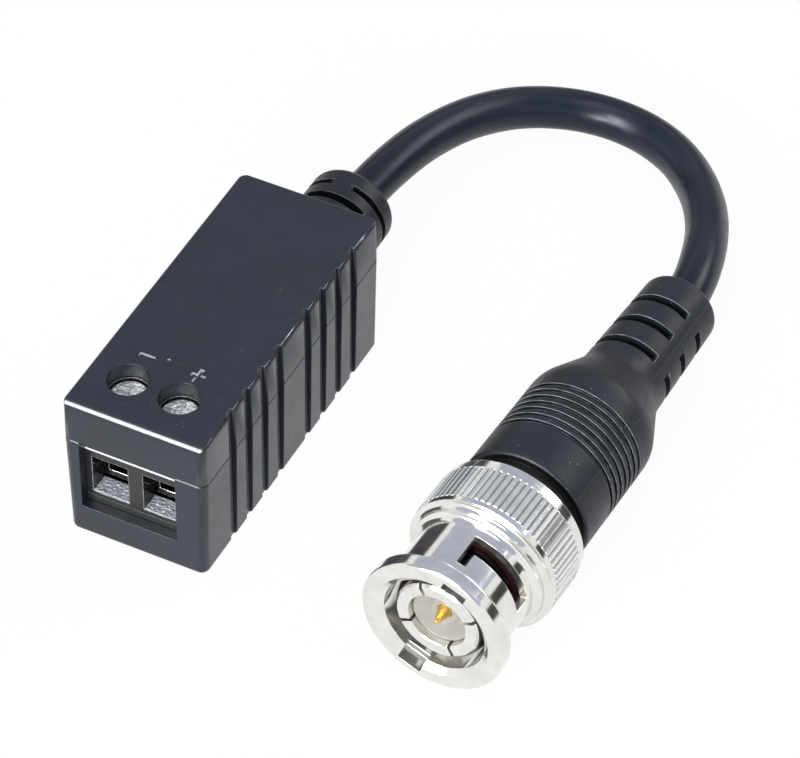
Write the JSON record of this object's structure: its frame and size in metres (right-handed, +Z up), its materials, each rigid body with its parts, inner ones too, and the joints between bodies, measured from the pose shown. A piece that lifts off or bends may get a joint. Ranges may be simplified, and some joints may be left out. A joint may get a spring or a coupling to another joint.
{
  "type": "cctv video balun",
  "caption": "Passive video balun: ribbed black box with a screw terminal for a twisted pair, and a short coaxial tail that ends in a bayonet plug with a moulded boot.",
  "frame": {"origin": "bottom centre of the box, on the surface that it rests on", "axes": "+Y along the box towards the cable exit, -Y is the terminal end, +Z up through the cover"},
  "size_m": [0.0449, 0.0735, 0.0156],
  "materials": {
    "housing_plastic": "moulded black ABS, satin grain",
    "terminal_plastic": "moulded black polyamide",
    "plated_steel": "nickel plated",
    "tinned_brass": "tinned",
    "board_laminate": "solder mask over glass laminate",
    "ferrite": "sintered ferrite",
    "copper_wire": "enamelled copper",
    "chip_ceramic": "ceramic chip with tinned ends",
    "suppressor_epoxy": "moulded epoxy",
    "cable_jacket": "flexible PVC, satin",
    "cable_dielectric": "white polyethylene",
    "boot_rubber": "moulded soft PVC, satin",
    "nickel_plate": "bright nickel over brass",
    "contact_insulator": "white insulator",
    "gold_plate": "gold plated",
    "gasket_rubber": "red silicone",
    "spring_steel": "hardened strip"
  },
  "bodies": {
    "root": {"top_cover": "housing_plastic", "bottom_housing": "housing_plastic", "terminal_block": "terminal_plastic", "contact_bar_minus": "tinned_brass", "contact_bar_plus": "tinned_brass", "circuit_board": "board_laminate", "ferrite_toroid": "ferrite", "winding_primary": "copper_wire", "winding_secondary": "copper_wire", "capacitor_input": "chip_ceramic", "capacitor_output": "chip_ceramic", "surge_suppressor": "suppressor_epoxy", "rear_strain_relief": "boot_rubber", "cable": "cable_jacket", "cable_core_box_end": "cable_dielectric", "cable_braid_box_end": "copper_wire", "cable_core_plug_end": "cable_dielectric", "connector_boot": "boot_rubber", "plug_body": "nickel_plate", "insulator": "contact_insulator", "center_pin": "gold_plate", "gasket": "gasket_rubber", "wave_washer": "spring_steel", "retaining_ring": "spring_steel", "crimp_ferrule": "nickel_plate"},
    "screw_minus": {"terminal_screw_minus": "plated_steel"},
    "screw_plus": {"terminal_screw_plus": "plated_steel"},
    "cage_minus": {"clamp_cage_minus": "plated_steel"},
    "cage_plus": {"clamp_cage_plus": "plated_steel"},
    "nut_slide": {"thrust_washer": "spring_steel"},
    "coupling_nut": {"coupling_nut": "nickel_plate"}
  },
  "joints": [
    {"name": "cage_rise_minus", "type": "slide", "parent": "root", "child": "cage_minus", "axis": [0, 0, 1], "range_m": [0, 0.0022]},
    {"name": "screw_turn_minus", "type": "hinge", "parent": "root", "child": "screw_minus", "pos_m": [-0.00302, -0.0116, 0.013], "axis": [0, 0, -1], "range_deg": [0, 1760]},
    {"name": "cage_rise_plus", "type": "slide", "parent": "root", "child": "cage_plus", "axis": [0, 0, 1], "range_m": [0, 0.0022]},
    {"name": "screw_turn_plus", "type": "hinge", "parent": "root", "child": "screw_plus", "pos_m": [0.00206, -0.0116, 0.013], "axis": [0, 0, -1], "range_deg": [0, 1760]},
    {"name": "nut_push", "type": "slide", "parent": "root", "child": "nut_slide", "axis": [-0.055, -0.9985, 0], "range_m": [0, 0.0008], "stiffness_N_per_m": 1500, "springref_m": -0.002, "deforming": ["wave_washer"]},
    {"name": "nut_turn", "type": "hinge", "parent": "nut_slide", "child": "coupling_nut", "pos_m": [0.03029, -0.01331, 0.00715], "axis": [0.055, 0.9985, 0], "continuous": true}
  ],
  "couplings": [
    {"joint": "screw_turn_minus", "follows": "cage_rise_minus", "rad_per_m": 13963},
    {"joint": "screw_turn_plus", "follows": "cage_rise_plus", "rad_per_m": 13963}
  ]
}
